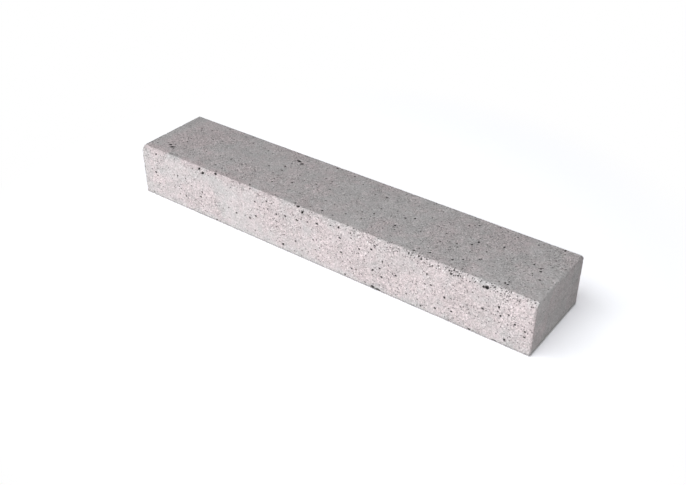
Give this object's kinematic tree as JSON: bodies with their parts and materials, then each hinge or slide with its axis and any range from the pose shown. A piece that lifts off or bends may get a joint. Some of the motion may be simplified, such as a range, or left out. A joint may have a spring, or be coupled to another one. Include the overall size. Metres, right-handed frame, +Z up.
{
  "type": "concrete stacking block",
  "caption": "Long, low, solid concrete block with faceted long top edges, laid flat in stacked courses as a garden kerb, raised-bed edge or low retaining wall.",
  "frame": {"origin": "centre of the underside, on the bed that the block lies on", "axes": "+X along the length, +Y from the front face to the back face, +Z up through the faceted top"},
  "size_m": [1, 0.2, 0.12],
  "materials": {
    "concrete": "as-cast light grey concrete, matt, porous, faintly pinkish"
  },
  "bodies": {
    "root": {"stacking_block": "concrete"}
  },
  "joints": []
}
